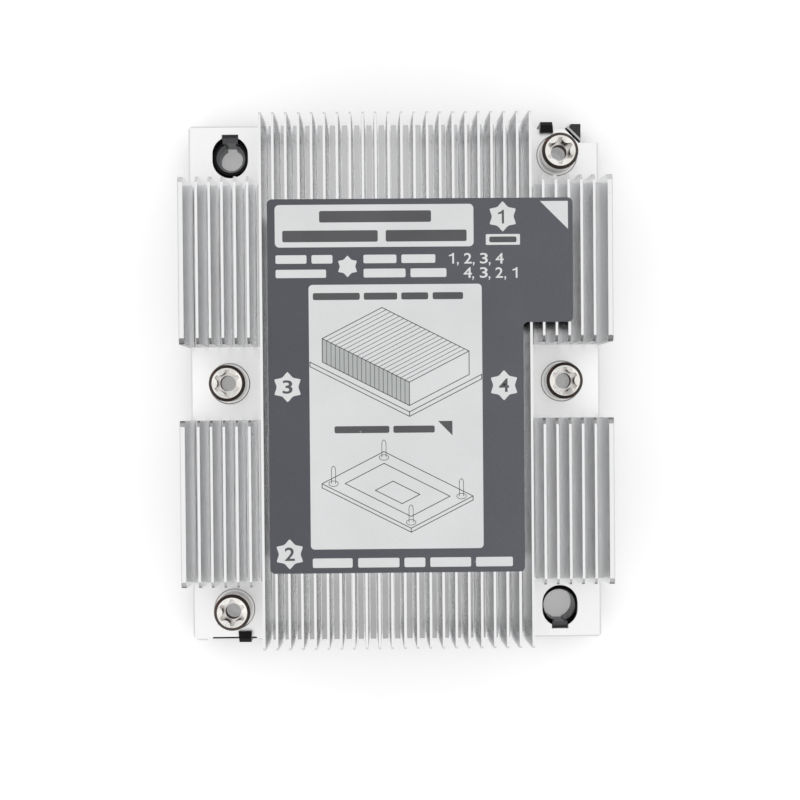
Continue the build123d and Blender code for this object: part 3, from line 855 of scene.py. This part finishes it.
darkPrint = {
    "bars": [(-15.3, 7.1, 31.8, 34.1), (-22.7, -3.6, 27.9, 30.2), (-2.0, 14.2, 27.9, 30.2),
             (18.75, 24.2, 27.6, 28.75), (-16.7, -7.3, 16.3, 17.7), (-6.5, 0.2, 16.3, 17.7),
             (1.0, 6.4, 16.3, 17.7), (7.3, 13.4, 16.3, 17.7), (-12.6, -1.6, -10.4, -9.0),
             (-0.8, 7.5, -10.4, -9.0)],
    "barRadius": 0.35,
    "corner": [(8.2, -8.1), (11.05, -11.0), (11.05, -8.1)],
    "figureBox": (-1.0, 1.0, -1.33, 1.37),
    "oneBox": (-0.92, 0.25, -1.42, 1.3),
    "figureWeight": 0.015,
    "roundSteps": 20,
    "tilt": math.radians(27.0),
    "line": 0.16,
    "fineLine": 0.11,
    "blockAt": (-14.9, 3.0),
    "block": (19.5, 13.5),
    "blockHeights": (0.9, 5.6),
    "blockFins": 20,
    "plateMargin": 1.4,
    "frameAt": (-15.2, -21.3),
    "frame": (20.0, 14.0),
    "frameHeight": 0.8,
    "frameBorder": 2.6,
    "window": (7.0, 5.0),
    "windowHeight": 0.3,
    "postInset": 1.3,
    "postFoot": (0.95, 0.55),
    "postHeight": 2.6,
    "postRadius": 0.42,
    "postDome": 0.9,
}


def sketchPoint(origin, x, y, z=0.0):
    tilt = darkPrint["tilt"]
    return (origin[0] + (x + y) * math.cos(tilt), origin[1] + (y - x) * math.sin(tilt) + z)


def sketch(bm, origin, corners, width, closed=False):
    pathStroke(bm, [sketchPoint(origin, *corner) for corner in corners], width, label["ink"], closed)


def rectangle(margin, size, z):
    # corners of a rectangle set in by a margin on each side, at one height of the sketch
    x, y = (margin, margin) if isinstance(margin, float) else margin
    return [(x, y, z), (size[0] - x, y, z), (size[0] - x, size[1] - y, z), (x, size[1] - y, z)]


def sketchBlock(ink, tone):
    s = darkPrint
    at, (long, wide), (foot, top) = s["blockAt"], s["block"], s["blockHeights"]
    front = [(0, 0, foot), (long, 0, foot), (long, 0, top), (0, 0, top)]
    slab(tone, [sketchPoint(at, *corner) for corner in front], label["tone"])
    sketch(ink, at, rectangle(0.0, s["block"], top), s["line"], closed=True)
    sketch(ink, at, rectangle(0.0, s["block"], foot)[:3], s["line"])
    for x, y in ((0, 0), (long, 0), (long, wide)):
        sketch(ink, at, [(x, y, foot), (x, y, top)], s["line"])
    for step in range(1, s["blockFins"]):
        x = long * step / s["blockFins"]
        sketch(ink, at, [(x, 0, foot), (x, 0, top), (x, wide, top)], s["fineLine"])
    edge = rectangle(-s["plateMargin"], s["block"], 0.0)[:3]
    raised = [(x, y, foot) for x, y, z in edge]
    sketch(ink, at, edge, s["line"])
    sketch(ink, at, raised, s["line"])
    for low, high in zip(edge, raised):
        sketch(ink, at, [low, high], s["line"])


def sketchFrame(ink):
    s, levels = darkPrint, label["ink"]
    at, size, top = s["frameAt"], s["frame"], s["frameHeight"]
    for margin, height in ((0.0, top), (s["frameBorder"], top), (s["window"], s["windowHeight"])):
        sketch(ink, at, rectangle(margin, size, height), s["line"], closed=True)
    edge = rectangle(0.0, size, 0.0)[:3]
    sketch(ink, at, edge, s["line"])
    for x, y, z in edge:
        sketch(ink, at, [(x, y, z), (x, y, top)], s["line"])
    for corner in rectangle(s["postInset"], size, top):
        x, y = sketchPoint(at, *corner)
        ellipse(ink, (x, y), *s["postFoot"], s["fineLine"], levels)
        for side in (-s["postRadius"], s["postRadius"]):
            stroke(ink, (x + side, y), (x + side, y + s["postHeight"]), s["fineLine"], levels)
        crown = (x, y + s["postHeight"])
        ellipse(ink, crown, s["postRadius"], s["postDome"], s["fineLine"], levels, share=0.5)


def makeDarkPrint():
    s, levels = darkPrint, label["ink"]
    ink = bmesh.new()
    tone = bmesh.new()
    for sign, (x, y) in starPlaces.items():
        left, right, low, high = s["oneBox"] if sign == "1" else s["figureBox"]
        figure(ink, sign, x + left, x + right, y + low, y + high, levels, s["figureWeight"])
    for sides in s["bars"]:
        box(ink, *sides, levels, s["barRadius"])
    slab(ink, s["corner"], levels)
    sketchBlock(ink, tone)
    sketchFrame(ink)
    finishPiece(tone, "label_tone_print", "greyInk")
    finishPiece(ink, "label_ink_print", "darkInk")


makeDarkPrint()
print("dark print made")


# Floor, light and camera

studio = {
    "floorSize": 4.0,
    "floorColour": (0.88, 0.88, 0.88, 1),
    "floorGlow": 0.285,
    "worldLevel": 0.9,
    "lamps": [("overhead", (0.0, 0.05, 1.3), 2.0, 1.2), ("fill", (-0.8, -0.5, 0.9), 0.9, 0.42)],
}


def directRays(tree):
    # one for what the camera, a reflection or clear matter sees, and none for the light on things
    rays = addNode(tree, "ShaderNodeLightPath").outputs
    return either(tree, rays["Is Camera Ray"], rays["Is Glossy Ray"], rays["Is Transmission Ray"])


def makeFloor():
    material, tree, shader = newMaterial("paleFloor", Roughness=0.9, Specular_IOR_Level=0.1)
    shader.inputs["Base Color"].default_value = studio["floorColour"]
    shader.inputs["Emission Color"].default_value = (1, 1, 1, 1)
    tree.links.new(times(tree, directRays(tree), studio["floorGlow"]), shader.inputs["Emission Strength"])
    floorMesh = bmesh.new()
    bmesh.ops.create_grid(floorMesh, x_segments=1, y_segments=1, size=studio["floorSize"] / 2)
    mesh = bpy.data.meshes.new("floor")
    floorMesh.to_mesh(mesh)
    floorMesh.free()
    mesh.materials.append(material)
    floor = bpy.data.objects.new("floor", mesh)
    bpy.context.scene.collection.objects.link(floor)


def makeLight():
    world = bpy.data.worlds.new("studio")
    bpy.context.scene.world = world
    world.use_nodes = True
    tree = world.node_tree
    tree.nodes.clear()
    level = calc(tree, "MULTIPLY_ADD", directRays(tree), 1 - studio["worldLevel"], studio["worldLevel"])
    back = addNode(tree, "ShaderNodeBackground", {"Color": (1, 1, 1, 1)})
    tree.links.new(level, back.inputs["Strength"])
    output = addNode(tree, "ShaderNodeOutputWorld")
    tree.links.new(back.outputs[0], output.inputs["Surface"])
    for name, at, size, energy in studio["lamps"]:
        lamp = bpy.data.lights.new(name, "AREA")
        lamp.shape = "SQUARE"
        lamp.size = size
        lamp.energy = energy
        holder = bpy.data.objects.new(name, lamp)
        holder.location = at
        holder.rotation_euler = Vector(at).to_track_quat("Z", "Y").to_euler()
        bpy.context.scene.collection.objects.link(holder)


camera = {
    "place": (-5.0, -5.42, 400.7),
    "turn": (-0.0172, -0.0150, -0.0085),
    "focalPixels": 1850.2,
    "middle": (400, 440),
    "framePixels": 800,
    "sensorWidth": 36.0,
}


def makeCamera():
    s = camera
    data = bpy.data.cameras.new("camera")
    data.sensor_fit = "HORIZONTAL"
    data.sensor_width = s["sensorWidth"]
    data.lens = s["sensorWidth"] * s["focalPixels"] / s["framePixels"]
    data.shift_x = (s["framePixels"] / 2 - s["middle"][0]) / s["framePixels"]
    data.shift_y = (s["middle"][1] - s["framePixels"] / 2) / s["framePixels"]
    data.clip_start = 0.01
    data.clip_end = 20
    holder = bpy.data.objects.new("camera", data)
    holder.location = Vector(s["place"]) * mm
    holder.rotation_euler = Euler(s["turn"], "XYZ")
    bpy.context.scene.collection.objects.link(holder)
    bpy.context.scene.camera = holder


makeFloor()
makeLight()
makeCamera()
bpy.context.scene.view_settings.view_transform = "Standard"
print("studio and camera made")
